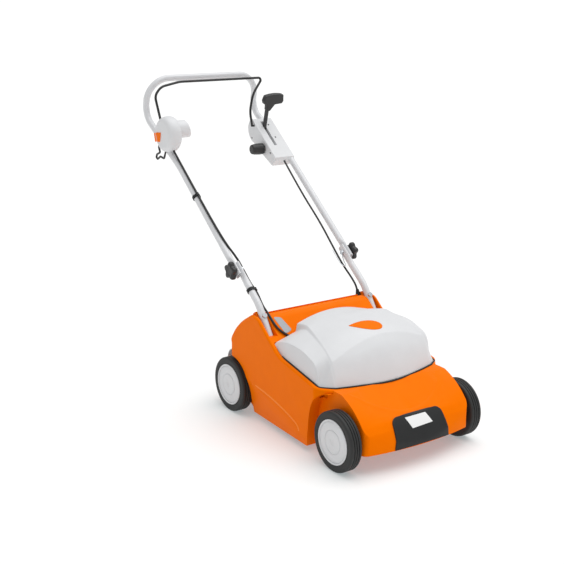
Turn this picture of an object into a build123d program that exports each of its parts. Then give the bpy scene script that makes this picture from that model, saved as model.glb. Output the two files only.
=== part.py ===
"""Electric lawn scarifier: moulded deck and hood, four wheels, blade drum, folding handle.

Millimetres. Front is -Y, X is across, Z is up, and the ground is Z = 0.
"""
import os
from math import cos, radians, sin, tan

from build123d import *

os.makedirs("parts", exist_ok=True)

# Wheels and axles
wheel_r = 100
wheel_front_y = -574
wheel_rear_y = 50
wheel_inner_x = 233
wheel_outer_x = 282
rim_seat_r = 76
axle_r = 6
running_gap = 0.05

# Deck
deck_half = 262
apron_half = 221
wall = 4
floor_z = 201
skirt_z = 20
chamber_half = 222
crease_slope = 0.2657
crease_tilt = 0.203
crease_y = -354
crease_z = 71
hood_drop = 6
hood_wall = 3
hood_gap = 2

# Drum and its drive
drum_y = -216
drum_z = 85
drum_shaft_r = 10
blade_r = 80
blade_count = 16
blade_pitch = 24
blade_thick = 2.5
tunnel_r = 112
motor_y = -372
motor_z = 258
motor_r = 52
belt_x = 233.5
motor_pulley_r = 16
drum_pulley_r = 36
belt_thick = 5

# Front crank axle that lifts the deck
crank_arm = 45
crank_lean = 6
crank_rod_r = 8
quadrant_r = 35
wire_x = 199

# Handle
tube_r = 12.5
tube_wall = 2
fold_y = 37
fold_z = 527
handle_angle = 39.07
upper_x = 248
lower_x = 233
flat_half = 7.35
flat_height = 16.5
tube_foot = (-155, 328)
foot_angle = 55
bolt_r = 4

# Switch box, lever box and cables
switch_s = 634
switch_n = 38
switch_r = 68
bail_y = 556
bail_z = 955.5
bail_angle = 74.3
bail_r = 4
bail_pin_r = 3
lever_s = 631
lever_n = -42
knob_s = 570
knob_n = -20
bowden_r = 3
power_r = 3.5

# Small pieces of the deck
bush_r = 12
bearing_r = 21
flap_y = 84
flap_z = 208
flap_rod_r = 3
panel_thick = 3
boot_foot = Vector(213, -78, 384)
boot_axis = Vector(0, 0.25, 1)
hood_notch = (-172, 329)

# Hood from the rear to the front: place, crease across, then heights at the edge, the shoulder,
# the crown's edge, half way in and on top
hood_sections = [
    (-190, 152, 318, 356, 377, 388, 393),
    (-236, 156, 332, 363, 384, 396, 402),
    (-300, 165, 327, 362, 384, 397, 405),
    (-357, 175, 318, 358, 374, 392, 401),
    (-415, 186, 276, 332, 348, 374, 390),
    (-450, 194, 245, 304, 322, 354, 377),
    (-485, 204, 210, 264, 282, 322, 353),
    (-515, 208, 180, 222, 236, 276, 305),
    (-545, 208, 150, 175, 182, 205, 225),
]
hood_round = 10


# Directions along the handle and square to it
along = Vector(0, cos(radians(handle_angle)), sin(radians(handle_angle)))
square = Vector(0, -sin(radians(handle_angle)), cos(radians(handle_angle)))
fold = Vector(0, fold_y, fold_z)
crank_y = wheel_front_y + crank_arm * sin(radians(crank_lean))
crank_z = wheel_r + crank_arm * cos(radians(crank_lean))
wire_z = crank_z + quadrant_r + 1.35


def on_handle(x, s, n):
    """Point at a place across, along and square to the handle."""
    return fold + Vector(x, 0, 0) + along * s + square * n


def handle_plane(n):
    """Plane parallel to the handle, n above the tube centres."""
    return Plane(origin=on_handle(0, 0, n), x_dir=(1, 0, 0), z_dir=square)


def tube_plane(x, s):
    """Plane square to the handle tube at s."""
    return Plane(origin=on_handle(x, s, 0), x_dir=(1, 0, 0), z_dir=along)


def side_plane(x):
    """Plane seen from the side at x, with axes along and square to the handle."""
    return Plane(origin=on_handle(x, 0, 0), x_dir=along, z_dir=(1, 0, 0))


def wheel_plane(y, z):
    """Plane through a cross axle, for profiles given as (x, radius)."""
    return Plane(origin=(0, y, z), x_dir=(1, 0, 0), z_dir=(0, -1, 0))


def cross_axis(y, z):
    """Axis across the machine."""
    return Axis((0, y, z), (1, 0, 0))


def mirrored(points):
    """Points of a half outline followed by their mirror images."""
    return points + [(-x, y) for x, y in reversed(points)]


def bend_radii(points):
    """Largest soft bend at each corner of a cable route."""
    radii = []
    for before, here, after in zip(points, points[1:], points[2:]):
        run_in = Vector(here) - Vector(before)
        run_out = Vector(after) - Vector(here)
        turn = radians(run_in.get_angle(run_out))
        radii.append(0.45 * min(run_in.length, run_out.length) / tan(turn / 2))
    return radii


# Deck outline from the side: rim, rear slope, apron and skirt
rim_points = [(-545, 238), (-465, 240), (-245, 287), (-104, 404), (52, 284), (76, 243), (72, 95)]
rim_radii = [80, 120, 45, 60, 12]
apron_points = [(-545, 238), (-642, 173), (-697, 71)]
scoop_points = [(-531, 234), (-651, 162)]
scoop_r = 1150
hood_front = -531
hood_outline = [(205, -494), (246, -455), (246, -203)]
deck_plan_points = [(221, -667), (221, -502), (262, -452), (262, 76)]


def deck_profile():
    """Closed side outline of the deck."""
    with BuildSketch() as outline:
        with BuildLine():
            FilletPolyline(*rim_points, radius=rim_radii)
            ThreePointArc(*apron_points)
            Polyline(apron_points[-1], (-560, 62), (-400, skirt_z), (-52, skirt_z), (30, 72), (72, 95))
        make_face()
    return outline.sketch


def deck_plan(inset):
    """Outline of the deck seen from above, moved inward."""
    with BuildSketch() as outline:
        with BuildLine():
            ThreePointArc((-221, -667), (0, -694), (221, -667))
            Polyline(*mirrored(deck_plan_points))
        make_face()
        fillet(outline.vertices().group_by(Axis.Y)[-1], radius=26)
        fillet(outline.vertices().filter_by(lambda v: abs(v.Y + 452) < 1), radius=20)
        fillet(outline.vertices().filter_by(lambda v: abs(v.Y + 667) < 1), radius=22)
        if inset:
            offset(amount=-inset)
    return outline.sketch


def apron_scoop(grow):
    """Shallow round hollow that runs down the middle of the apron."""
    high = Vector(0, *scoop_points[0])
    run = Vector(0, *scoop_points[1]) - high
    up = Vector(1, 0, 0).cross(run).normalized()
    if up.Z < 0:
        up = up * -1
    with BuildPart() as scoop:
        with BuildSketch(Plane(origin=high + up * scoop_r, x_dir=(1, 0, 0), z_dir=run)):
            Circle(scoop_r + grow)
        extrude(amount=220, both=True)
    return scoop.part


def above_rim(drop):
    """Everything above the rim line lowered by drop, seen from the side."""
    low = [(y, z - drop) for y, z in rim_points[:4]]
    with BuildSketch() as outline:
        with BuildLine():
            FilletPolyline(*low, radius=rim_radii[:2])
            Polyline(low[-1], (low[-1][0], 460), (-700, 460), (-700, low[0][1]), low[0])
        make_face()
    return outline.sketch


def hood_plan(grow):
    """Outline of the hood seen from above."""
    with BuildSketch() as outline:
        with BuildLine():
            ThreePointArc((-205, -494), (0, hood_front), (205, -494))
            Polyline(*mirrored(hood_outline))
        make_face()
        fillet(outline.vertices().filter_by(lambda v: v.Y < -400), radius=14)
        if grow:
            offset(amount=grow)
    return outline.sketch


def front_arch(grow):
    """Opening round a front wheel, seen from the side."""
    with BuildSketch() as outline:
        with BuildLine():
            Spline((-397 + grow, 0), (-426 + grow, 139), (-443 + grow, 190), (-468, 218 + grow),
                   (-520, 228 + grow))
            Polyline((-520, 228 + grow), (-760, 228 + grow), (-760, 0), (-397 + grow, 0))
        make_face()
    return outline.sketch


def rear_arch(grow):
    """Opening round a rear wheel, seen from the side."""
    with BuildSketch() as outline:
        with Locations((wheel_rear_y, wheel_r)):
            Circle(108 + grow)
        with BuildLine():
            Polyline((-56 - grow, 0), (-56 - grow, 100), (46, 100), (46, 207 + grow), (56, 223 + grow),
                     (78, 252 + grow), (130, 252 + grow), (130, 0), (-56 - grow, 0))
        make_face()
    return outline.sketch


def tube_notch(grow):
    """Notch where the foot of a lower tube lies, seen from the side."""
    with BuildSketch() as outline:
        with BuildLine():
            Polyline((-144.8 + grow, 320.8 - grow), (-72 + grow, 424.7), (-240, 424.7), (-200, 338 - grow),
                     (-165.2, 335.2 - grow), (-144.8 + grow, 320.8 - grow))
        make_face()
    return outline.sketch


def flank_plane(side, inward):
    """Slanted lower flank below the crease, moved inward."""
    normal = Vector(side, crease_tilt * crease_slope, -crease_tilt)
    return Plane(origin=(side * (deck_half - inward), crease_y, crease_z), z_dir=normal)


def bolt_plane(side):
    """Plane square to the bolt through the foot of a lower tube."""
    foot = Vector(side * lower_x, *tube_foot)
    up = Vector(0, cos(radians(foot_angle)), sin(radians(foot_angle)))
    return Plane(origin=foot + up * 75, x_dir=(1, 0, 0), z_dir=(0, -up.Z, up.Y))


# Outer form of the deck, not yet hollow
with BuildPart() as deck_outer:
    with BuildSketch(Plane.YZ):
        add(deck_profile())
    extrude(amount=deck_half, both=True)
    with BuildSketch(Plane.XY):
        add(deck_plan(0))
    extrude(amount=460, mode=Mode.INTERSECT)
    fillet(deck_outer.edges().filter_by(lambda e: abs(e.center().X) > 255 and e.center().Z > 236), radius=7)
    add(apron_scoop(0), mode=Mode.SUBTRACT)
    for side in (-1, 1):
        with BuildSketch(flank_plane(side, 0)):
            Rectangle(1200, 1200)
        extrude(amount=80, mode=Mode.SUBTRACT)
        with BuildSketch(Plane.YZ.offset(side * apron_half)):
            add(front_arch(0))
        extrude(amount=side * 60, mode=Mode.SUBTRACT)
        with BuildSketch(Plane.YZ.offset(side * (chamber_half + wall))):
            add(rear_arch(0))
        extrude(amount=side * 60, mode=Mode.SUBTRACT)
        with BuildSketch(Plane.YZ.offset(side * 219.5)):
            add(tube_notch(0))
        extrude(amount=side * 32.5, mode=Mode.SUBTRACT)

# Motor bay under the hood and behind it
with BuildPart() as motor_bay:
    with BuildSketch(Plane.YZ):
        add(deck_profile())
        offset(amount=-wall, kind=Kind.INTERSECTION)
        with Locations((-300, floor_z)):
            Rectangle(1200, 400, align=(Align.CENTER, Align.MAX), mode=Mode.SUBTRACT)
    extrude(amount=deck_half - wall, both=True)
    with BuildSketch(Plane.XY):
        add(deck_plan(wall))
    extrude(amount=460, mode=Mode.INTERSECT)
    add(apron_scoop(wall), mode=Mode.SUBTRACT)
    with BuildSketch(Plane.YZ):
        add(above_rim(hood_drop + wall))
    extrude(amount=deck_half, both=True, mode=Mode.SUBTRACT)
    for side in (-1, 1):
        with BuildSketch(Plane.YZ.offset(side * (apron_half - wall))):
            add(front_arch(wall))
        extrude(amount=side * 60, mode=Mode.SUBTRACT)
        with BuildSketch(Plane.YZ.offset(side * chamber_half)):
            add(rear_arch(wall))
        extrude(amount=side * 60, mode=Mode.SUBTRACT)
        with BuildSketch(Plane.YZ.offset(side * 215)):
            add(tube_notch(wall))
        extrude(amount=side * 60, mode=Mode.SUBTRACT)
    with BuildSketch(Plane.XY.offset(floor_z)):
        add(hood_plan(-5))
    extrude(amount=240)

# Blade chamber and discharge channel, open below and behind
with BuildPart() as chamber:
    with BuildSketch(Plane.YZ):
        with BuildLine():
            Polyline((90, -5), (drum_y - tunnel_r, -5), (drum_y - tunnel_r, drum_z))
            RadiusArc((drum_y - tunnel_r, drum_z), (drum_y, drum_z + tunnel_r), tunnel_r)
            Polyline((drum_y, drum_z + tunnel_r), (90, drum_z + tunnel_r), (90, -5))
        make_face()
    extrude(amount=chamber_half, both=True)

# Front bay between the front wheels, open below
with BuildPart() as front_bay:
    with BuildSketch(Plane.YZ):
        add(deck_profile())
        offset(amount=-wall, kind=Kind.INTERSECTION)
        with Locations((-332, 0)):
            Rectangle(600, 600, align=(Align.MIN, Align.CENTER), mode=Mode.SUBTRACT)
        with Locations((-500, floor_z - wall)):
            Rectangle(700, 300, align=(Align.CENTER, Align.MIN), mode=Mode.SUBTRACT)
    extrude(amount=apron_half - wall, both=True)
    with BuildSketch(Plane.XY):
        add(deck_plan(wall))
    extrude(amount=460, mode=Mode.INTERSECT)
    add(apron_scoop(wall), mode=Mode.SUBTRACT)
    with BuildSketch(Plane.XY.offset(-5)):
        add(deck_plan(wall))
        with Locations((0, -332)):
            Rectangle(2 * (apron_half - wall), 400, align=(Align.CENTER, Align.MAX), mode=Mode.INTERSECT)
    extrude(amount=83)

# Side pockets beside the chamber, where the belt runs
with BuildPart() as pockets:
    for side in (-1, 1):
        with BuildSketch(Plane.YZ.offset(side * (chamber_half + wall))):
            with Locations((-410, -5)):
                Rectangle(360, floor_z + 5.5, align=(Align.MIN, Align.MIN))
        extrude(amount=side * 32)
    for side in (-1, 1):
        with BuildSketch(flank_plane(side, wall)):
            Rectangle(1200, 1200)
        extrude(amount=80, mode=Mode.SUBTRACT)
        with BuildSketch(Plane.YZ.offset(side * (apron_half - wall))):
            add(front_arch(wall))
        extrude(amount=side * 60, mode=Mode.SUBTRACT)
        with BuildSketch(Plane.YZ.offset(side * chamber_half)):
            add(rear_arch(wall))
        extrude(amount=side * 60, mode=Mode.SUBTRACT)

# Space that the hood takes out of the deck
with BuildPart() as hood_seat:
    with BuildSketch(Plane.YZ):
        add(above_rim(hood_drop))
    extrude(amount=300, both=True)
    with BuildSketch(Plane.XY.offset(150)):
        add(hood_plan(hood_gap))
    extrude(amount=350, mode=Mode.INTERSECT)

with BuildPart() as deck:
    add(deck_outer.part)
    for hollow in (motor_bay, chamber, front_bay, pockets, hood_seat):
        add(hollow.part, mode=Mode.SUBTRACT)
    for side in (-1, 1):
        # Ear behind the tube foot, for its bolt
        with BuildSketch(Plane.YZ.offset(side * 221)):
            Polygon((-126, 347.6), (-88.2, 401.6), (-78, 404), (-66, 392), (-84, 350), align=None)
        extrude(amount=side * 24)
        # Lug that carries the flap rod
        with BuildSketch(Plane.YZ.offset(side * 190)):
            Polygon((70, 199), (84, 200), (90, 208), (84, 215), (70, 224), align=None)
        extrude(amount=side * 8)
    # Holes for the axle, the crank bushes, the drum bearings and the flap rod
    with BuildSketch(Plane.YZ.offset(-228)):
        with Locations((wheel_rear_y, wheel_r)):
            Circle(axle_r)
        with Locations((crank_y, crank_z)):
            Circle(bush_r)
        with Locations((drum_y, drum_z)):
            Circle(bearing_r)
        with Locations((flap_y, flap_z)):
            Circle(flap_rod_r)
    extrude(amount=456, mode=Mode.SUBTRACT)
    # Holes for the tube bolts
    for side in (-1, 1):
        with BuildSketch(bolt_plane(side)):
            Circle(bolt_r)
        extrude(amount=-60, mode=Mode.SUBTRACT)
    # Holes for the cables
    with BuildSketch(Plane(origin=boot_foot, z_dir=boot_axis)):
        Circle(bowden_r + 1)
    extrude(amount=30, both=True, mode=Mode.SUBTRACT)
    with BuildSketch(Plane.XY.offset(floor_z - wall - 2)):
        with Locations((wire_x, -371)):
            SlotOverall(64, 12, rotation=90)
    extrude(amount=wall + 4, mode=Mode.SUBTRACT)
    # Tab below the floor that holds the end of the cable sleeve
    with BuildSketch(Plane.XZ.offset(420)):
        with Locations((wire_x, floor_z - wall)):
            Rectangle(22, 26, align=(Align.CENTER, Align.MAX))
        with Locations((wire_x, wire_z)):
            Circle(bowden_r + 1.5, mode=Mode.SUBTRACT)
    extrude(amount=5)
deck.part.label = "deck"
export_step(deck.part, "parts/deck.step")

# Black panel that lies on the apron
with BuildPart() as front_panel:
    with BuildSketch(Plane.YZ):
        add(deck_profile())
        offset(amount=panel_thick)
    extrude(amount=112, both=True)
    with BuildSketch(Plane.XY):
        with BuildLine():
            ThreePointArc((-221, -667 - panel_thick), (0, -694 - panel_thick), (221, -667 - panel_thick))
            Polyline((221, -667 - panel_thick), (221, -560), (-221, -560), (-221, -667 - panel_thick))
        make_face()
    extrude(amount=300, mode=Mode.INTERSECT)
    with BuildSketch(Plane.XZ.offset(500)) as window:
        with BuildLine():
            Polyline((-109, 75), (-93, 165), (93, 165), (109, 75), (-109, 75))
        make_face()
        fillet(window.vertices().group_by(Axis.Z)[-1], radius=24)
        fillet(window.vertices().group_by(Axis.Z)[0], radius=4)
    extrude(amount=300, mode=Mode.INTERSECT)
    add(deck_outer.part, mode=Mode.SUBTRACT)
front_panel.part.label = "front_panel"
export_step(front_panel.part, "parts/front_panel.step")


def hood_block(thin):
    """Solid form of the hood with sharp edges, every outer surface moved in by thin."""
    with BuildPart() as form:
        for y, crease, edge, shoulder, brow, middle, top in hood_sections:
            inward = thin if y < -430 else 0
            half = [(250, edge), (crease + 22, shoulder), (crease - 14, brow), (crease * 0.55, middle)]
            ridge = [(-x, z - thin) for x, z in half]
            ridge += [(0, top - thin)]
            ridge += [(x, z - thin) for x, z in reversed(half)]
            with BuildSketch(Plane(origin=(0, y + inward, 0), x_dir=(1, 0, 0), z_dir=(0, -1, 0))):
                with BuildLine():
                    Spline(*ridge)
                    Polyline(ridge[-1], (250, 100), (-250, 100), ridge[0])
                make_face()
        loft()
        with BuildSketch(Plane.XY.offset(100)):
            add(hood_plan(-thin))
        extrude(amount=340, mode=Mode.INTERSECT)
    return form.part


def hood_form(thin):
    """The hood's form with its upper edge rounded."""
    with BuildPart() as form:
        add(hood_block(thin))
        dome = form.faces().sort_by(Axis.Z)[-1]
        fillet(dome.edges(), radius=hood_round - thin)
    return form.part


with BuildPart() as motor_hood:
    add(hood_form(0))
    add(hood_form(hood_wall), mode=Mode.SUBTRACT)
    with BuildSketch(Plane.YZ):
        add(above_rim(hood_drop))
    extrude(amount=300, both=True, mode=Mode.INTERSECT)
    # Notch in the rear edge, where the power cable goes in
    with BuildSketch(Plane.XZ.offset(198)):
        with Locations(hood_notch):
            Circle(8)
            Rectangle(16, 40, align=(Align.CENTER, Align.MAX))
    extrude(amount=14, mode=Mode.SUBTRACT)
motor_hood.part.label = "motor_hood"
export_step(motor_hood.part, "parts/motor_hood.step")

# Small bare relief plate on top of the hood
with BuildPart() as hood_badge:
    with BuildSketch(Plane.XY.offset(360)):
        with Locations((0, -389)):
            Ellipse(52, 17)
    extrude(amount=60)
    add(hood_block(-1.5), mode=Mode.INTERSECT)
    add(hood_block(0), mode=Mode.SUBTRACT)
hood_badge.part.label = "hood_badge"
export_step(hood_badge.part, "parts/hood_badge.step")

# Rear axle with its clips
with BuildPart() as rear_axle:
    with BuildSketch(Plane.YZ.offset(-275)):
        with Locations((wheel_rear_y, wheel_r)):
            Circle(axle_r)
    extrude(amount=550)
rear_axle.part.label = "rear_axle"
export_step(rear_axle.part, "parts/rear_axle.step")

clip_places = {"rear_axle_clips": wheel_rear_y, "front_axle_clips": wheel_front_y}
for clip_name, clip_y in clip_places.items():
    with BuildPart() as axle_clips:
        for side in (-1, 1):
            with BuildSketch(Plane.YZ.offset(side * 270.5)):
                with Locations((clip_y, wheel_r)):
                    Circle(11)
                    Circle(axle_r, mode=Mode.SUBTRACT)
            extrude(amount=side * 2)
    axle_clips.part.label = clip_name
    export_step(axle_clips.part, f"parts/{clip_name}.step")

# Crank axle: rod in the deck, two arms, two stub axles and the cable quadrant
with BuildPart() as crank_axle:
    with BuildSketch(Plane.YZ.offset(-229.5)):
        with Locations((crank_y, crank_z)):
            Circle(crank_rod_r)
    extrude(amount=459)
    for side in (-1, 1):
        with BuildSketch(Plane.YZ.offset(side * 223.5)):
            with Locations((crank_y, crank_z), (wheel_front_y, wheel_r)):
                Circle(13)
            make_hull()
        extrude(amount=side * 6)
        with BuildSketch(Plane.YZ.offset(side * 223.5)):
            with Locations((wheel_front_y, wheel_r)):
                Circle(axle_r)
        extrude(amount=side * 51.5)
    with BuildSketch(wheel_plane(crank_y, crank_z)):
        with BuildLine():
            Polyline((wire_x - 5, 0), (wire_x - 5, quadrant_r + 3), (wire_x - 3, quadrant_r + 3),
                     (wire_x - 1, quadrant_r), (wire_x + 1, quadrant_r), (wire_x + 3, quadrant_r + 3),
                     (wire_x + 5, quadrant_r + 3), (wire_x + 5, 0), (wire_x - 5, 0))
        make_face()
    revolve(axis=cross_axis(crank_y, crank_z))
crank_axle.part.label = "crank_axle"
export_step(crank_axle.part, "parts/crank_axle.step")

with BuildPart() as crank_bushes:
    for side in (-1, 1):
        with BuildSketch(wheel_plane(crank_y, crank_z)):
            with BuildLine():
                Polyline((side * 222.5, crank_rod_r + running_gap), (side * 212, crank_rod_r + running_gap),
                         (side * 212, bush_r + 4), (side * 217, bush_r + 4), (side * 217, bush_r),
                         (side * 222.5, bush_r), (side * 222.5, crank_rod_r + running_gap))
            make_face()
        revolve(axis=cross_axis(crank_y, crank_z))
crank_bushes.part.label = "crank_bushes"
export_step(crank_bushes.part, "parts/crank_bushes.step")

# Four wheels: tyre with three grooves, rim with hub, and hub cap with a raised edge
groove_places = (245, 254, 263)
groove_depth = 3
wheel_places = {"front_right": (-1, wheel_front_y), "front_left": (1, wheel_front_y),
                "rear_right": (-1, wheel_rear_y), "rear_left": (1, wheel_rear_y)}
for wheel_name, (side, wheel_y) in wheel_places.items():
    tread = [(wheel_inner_x + 6, wheel_r)]
    for groove in groove_places:
        tread += [(groove - 1.5, wheel_r), (groove - 1, wheel_r - groove_depth),
                  (groove + 1, wheel_r - groove_depth), (groove + 1.5, wheel_r)]
    tread += [(268, wheel_r)]
    with BuildPart() as tyre:
        with BuildSketch(wheel_plane(wheel_y, wheel_r)):
            with BuildLine():
                Polyline(*[(side * x, r) for x, r in tread])
                ThreePointArc((side * 268, wheel_r), (side * 275, 95), (side * 277, 86))
                Polyline((side * 277, 86), (side * 276, rim_seat_r), (side * wheel_inner_x, rim_seat_r),
                         (side * wheel_inner_x, 92))
                ThreePointArc((side * wheel_inner_x, 92), (side * 235, 98), (side * 239, wheel_r))
            make_face()
        revolve(axis=cross_axis(wheel_y, wheel_r))
    tyre.part.label = f"tyre_{wheel_name}"
    export_step(tyre.part, f"parts/tyre_{wheel_name}.step")

    bore = axle_r + running_gap
    rim_points_half = [(231, bore), (270, bore), (270, 16), (256, 16), (256, 70), (276, 70),
                       (276, rim_seat_r), (wheel_inner_x, rim_seat_r), (wheel_inner_x, 70), (250, 70),
                       (250, 16), (231, 16), (231, bore)]
    with BuildPart() as rim:
        with BuildSketch(wheel_plane(wheel_y, wheel_r)):
            with BuildLine():
                Polyline(*[(side * x, r) for x, r in rim_points_half])
            make_face()
        revolve(axis=cross_axis(wheel_y, wheel_r))
    rim.part.label = f"rim_{wheel_name}"
    export_step(rim.part, f"parts/rim_{wheel_name}.step")

    with BuildPart() as hub_cap:
        with BuildSketch(wheel_plane(wheel_y, wheel_r)):
            with BuildLine():
                Polyline((side * 279, 0), (side * 276, 0), (side * 276, 75.5), (side * 279, 75.5))
                ThreePointArc((side * 279, 75.5), (side * 281.4, 73.5), (side * wheel_outer_x, 70.5))
                Polyline((side * wheel_outer_x, 70.5), (side * 281, 67), (side * 279, 65), (side * 279, 0))
            make_face()
        revolve(axis=cross_axis(wheel_y, wheel_r))
    hub_cap.part.label = f"hub_cap_{wheel_name}"
    export_step(hub_cap.part, f"parts/hub_cap_{wheel_name}.step")

# Drum: shaft, blades, spacers and pulley
with BuildPart() as drum_shaft:
    with BuildSketch(Plane.YZ.offset(-228)):
        with Locations((drum_y, drum_z)):
            Circle(drum_shaft_r)
    extrude(amount=470)
drum_shaft.part.label = "drum_shaft"
export_step(drum_shaft.part, "parts/drum_shaft.step")

blade_places = [(i - (blade_count - 1) / 2) * blade_pitch for i in range(blade_count)]
blade_arm = [(-11, 0), (-11, 40), (-6, 62), (-9, blade_r - 1), (1, blade_r - 1), (8, 62), (11, 40), (11, 0)]
with BuildPart() as blades:
    for i, place in enumerate(blade_places):
        with BuildSketch(Plane.YZ.offset(place - blade_thick / 2)):
            with Locations((drum_y, drum_z)):
                Circle(21)
            for turn in (0, 180):
                with Locations(Location((drum_y, drum_z), turn + 45 * i)):
                    Polygon(*blade_arm, align=None)
            with Locations((drum_y, drum_z)):
                Circle(drum_shaft_r, mode=Mode.SUBTRACT)
        extrude(amount=blade_thick)
blades.part.label = "blades"
export_step(blades.part, "parts/blades.step")

spacer_ends = [-205] + [place for place in blade_places] + [205]
with BuildPart() as spacers:
    for i, (start, stop) in enumerate(zip(spacer_ends, spacer_ends[1:])):
        low = start + (blade_thick / 2 if i else 0)
        high = stop - (blade_thick / 2 if i < blade_count else 0)
        with BuildSketch(Plane.YZ.offset(low)):
            with Locations((drum_y, drum_z)):
                Circle(16)
                Circle(drum_shaft_r, mode=Mode.SUBTRACT)
        extrude(amount=high - low)
spacers.part.label = "blade_spacers"
export_step(spacers.part, "parts/blade_spacers.step")

with BuildPart() as drum_bearings:
    for side in (-1, 1):
        bearing_bore = drum_shaft_r + running_gap
        bearing_points = [(226, bearing_bore), (210, bearing_bore), (210, 16), (216, 16), (216, 27),
                          (222, 27), (222, bearing_r), (226, bearing_r), (226, bearing_bore)]
        with BuildSketch(wheel_plane(drum_y, drum_z)):
            with BuildLine():
                Polyline(*[(side * x, r) for x, r in bearing_points])
            make_face()
        revolve(axis=cross_axis(drum_y, drum_z))
drum_bearings.part.label = "drum_bearings"
export_step(drum_bearings.part, "parts/drum_bearings.step")

shaft_r = 8
pulley_places = {"drum_pulley": (drum_y, drum_z, drum_pulley_r, drum_shaft_r),
                 "motor_pulley": (motor_y, motor_z, motor_pulley_r, shaft_r)}
for pulley_name, (pulley_y, pulley_z, groove_r, bore) in pulley_places.items():
    flange = groove_r + belt_thick
    pulley_points = [(-6, bore), (6, bore), (6, flange), (4.5, flange), (4.5, groove_r), (-4.5, groove_r),
                     (-4.5, flange), (-6, flange), (-6, bore)]
    with BuildPart() as pulley:
        with BuildSketch(wheel_plane(pulley_y, pulley_z)):
            with BuildLine():
                Polyline(*[(belt_x + x, r) for x, r in pulley_points])
            make_face()
        revolve(axis=cross_axis(pulley_y, pulley_z))
    pulley.part.label = pulley_name
    export_step(pulley.part, f"parts/{pulley_name}.step")

belt_gap = 0.35
with BuildPart() as drive_belt:
    for depth, mode in ((belt_thick - 0.5, Mode.ADD), (belt_gap, Mode.SUBTRACT)):
        with BuildSketch(Plane.YZ.offset(belt_x - 4)):
            with Locations((motor_y, motor_z)):
                Circle(motor_pulley_r + depth)
            with Locations((drum_y, drum_z)):
                Circle(drum_pulley_r + depth)
            make_hull()
        extrude(amount=8, mode=mode)
drive_belt.part.label = "drive_belt"
export_step(drive_belt.part, "parts/drive_belt.step")

# Motor: case, bracket, shaft and fan
with BuildPart() as motor_case:
    with BuildSketch(wheel_plane(motor_y, motor_z)):
        with BuildLine():
            Polyline((-78, shaft_r + running_gap), (-78, 34), (-66, 46), (-66, motor_r), (96, motor_r),
                     (96, 44), (112, 30), (112, shaft_r + running_gap), (-78, shaft_r + running_gap))
        make_face()
    revolve(axis=cross_axis(motor_y, motor_z))
motor_case.part.label = "motor_case"
export_step(motor_case.part, "parts/motor_case.step")

with BuildPart() as motor_bracket:
    for start in (-60, 70):
        with BuildSketch(Plane.YZ.offset(start)):
            with BuildLine():
                Polyline((motor_y - 58, floor_z), (motor_y + 58, floor_z), (motor_y + 46, motor_z - 12),
                         (motor_y - 46, motor_z - 12), (motor_y - 58, floor_z))
            make_face()
            with Locations((motor_y, motor_z)):
                Circle(motor_r, mode=Mode.SUBTRACT)
        extrude(amount=22)
motor_bracket.part.label = "motor_bracket"
export_step(motor_bracket.part, "parts/motor_bracket.step")

with BuildPart() as motor_shaft:
    with BuildSketch(Plane.YZ.offset(-102)):
        with Locations((motor_y, motor_z)):
            Circle(shaft_r)
    extrude(amount=342)
motor_shaft.part.label = "motor_shaft"
export_step(motor_shaft.part, "parts/motor_shaft.step")

with BuildPart() as cooling_fan:
    with BuildSketch(Plane.YZ.offset(-84)):
        with Locations((motor_y, motor_z)):
            Circle(46)
            Circle(shaft_r, mode=Mode.SUBTRACT)
    extrude(amount=3)
    with BuildSketch(Plane.YZ.offset(-100)):
        with Locations((motor_y, motor_z)):
            Circle(14)
            with PolarLocations(29, 9):
                Rectangle(34, 2.5)
            Circle(shaft_r, mode=Mode.SUBTRACT)
    extrude(amount=16)
cooling_fan.part.label = "cooling_fan"
export_step(cooling_fan.part, "parts/cooling_fan.step")

# Rear flap on its rod
with BuildPart() as flap_rod:
    with BuildSketch(Plane.YZ.offset(-198)):
        with Locations((flap_y, flap_z)):
            Circle(flap_rod_r)
    extrude(amount=396)
flap_rod.part.label = "flap_rod"
export_step(flap_rod.part, "parts/flap_rod.step")

with BuildPart() as rear_flap:
    with BuildSketch(Plane.YZ):
        with BuildLine():
            FilletPolyline((flap_y, flap_z + 4), (152, 196), (186, 52), radius=44)
        trace(line_width=3)
    extrude(amount=212, both=True)
    with BuildSketch(Plane.YZ):
        with Locations((flap_y, flap_z)):
            Circle(6)
    extrude(amount=186, both=True)
    with BuildSketch(Plane.YZ):
        with Locations((flap_y, flap_z)):
            Circle(flap_rod_r + running_gap)
    extrude(amount=212, both=True, mode=Mode.SUBTRACT)
    # Room for the lugs of the deck
    for side in (-1, 1):
        with BuildSketch(Plane.YZ.offset(side * 187)):
            with Locations((flap_y, flap_z)):
                Circle(19)
        extrude(amount=side * 30, mode=Mode.SUBTRACT)
rear_flap.part.label = "rear_flap"
export_step(rear_flap.part, "parts/rear_flap.step")

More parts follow.
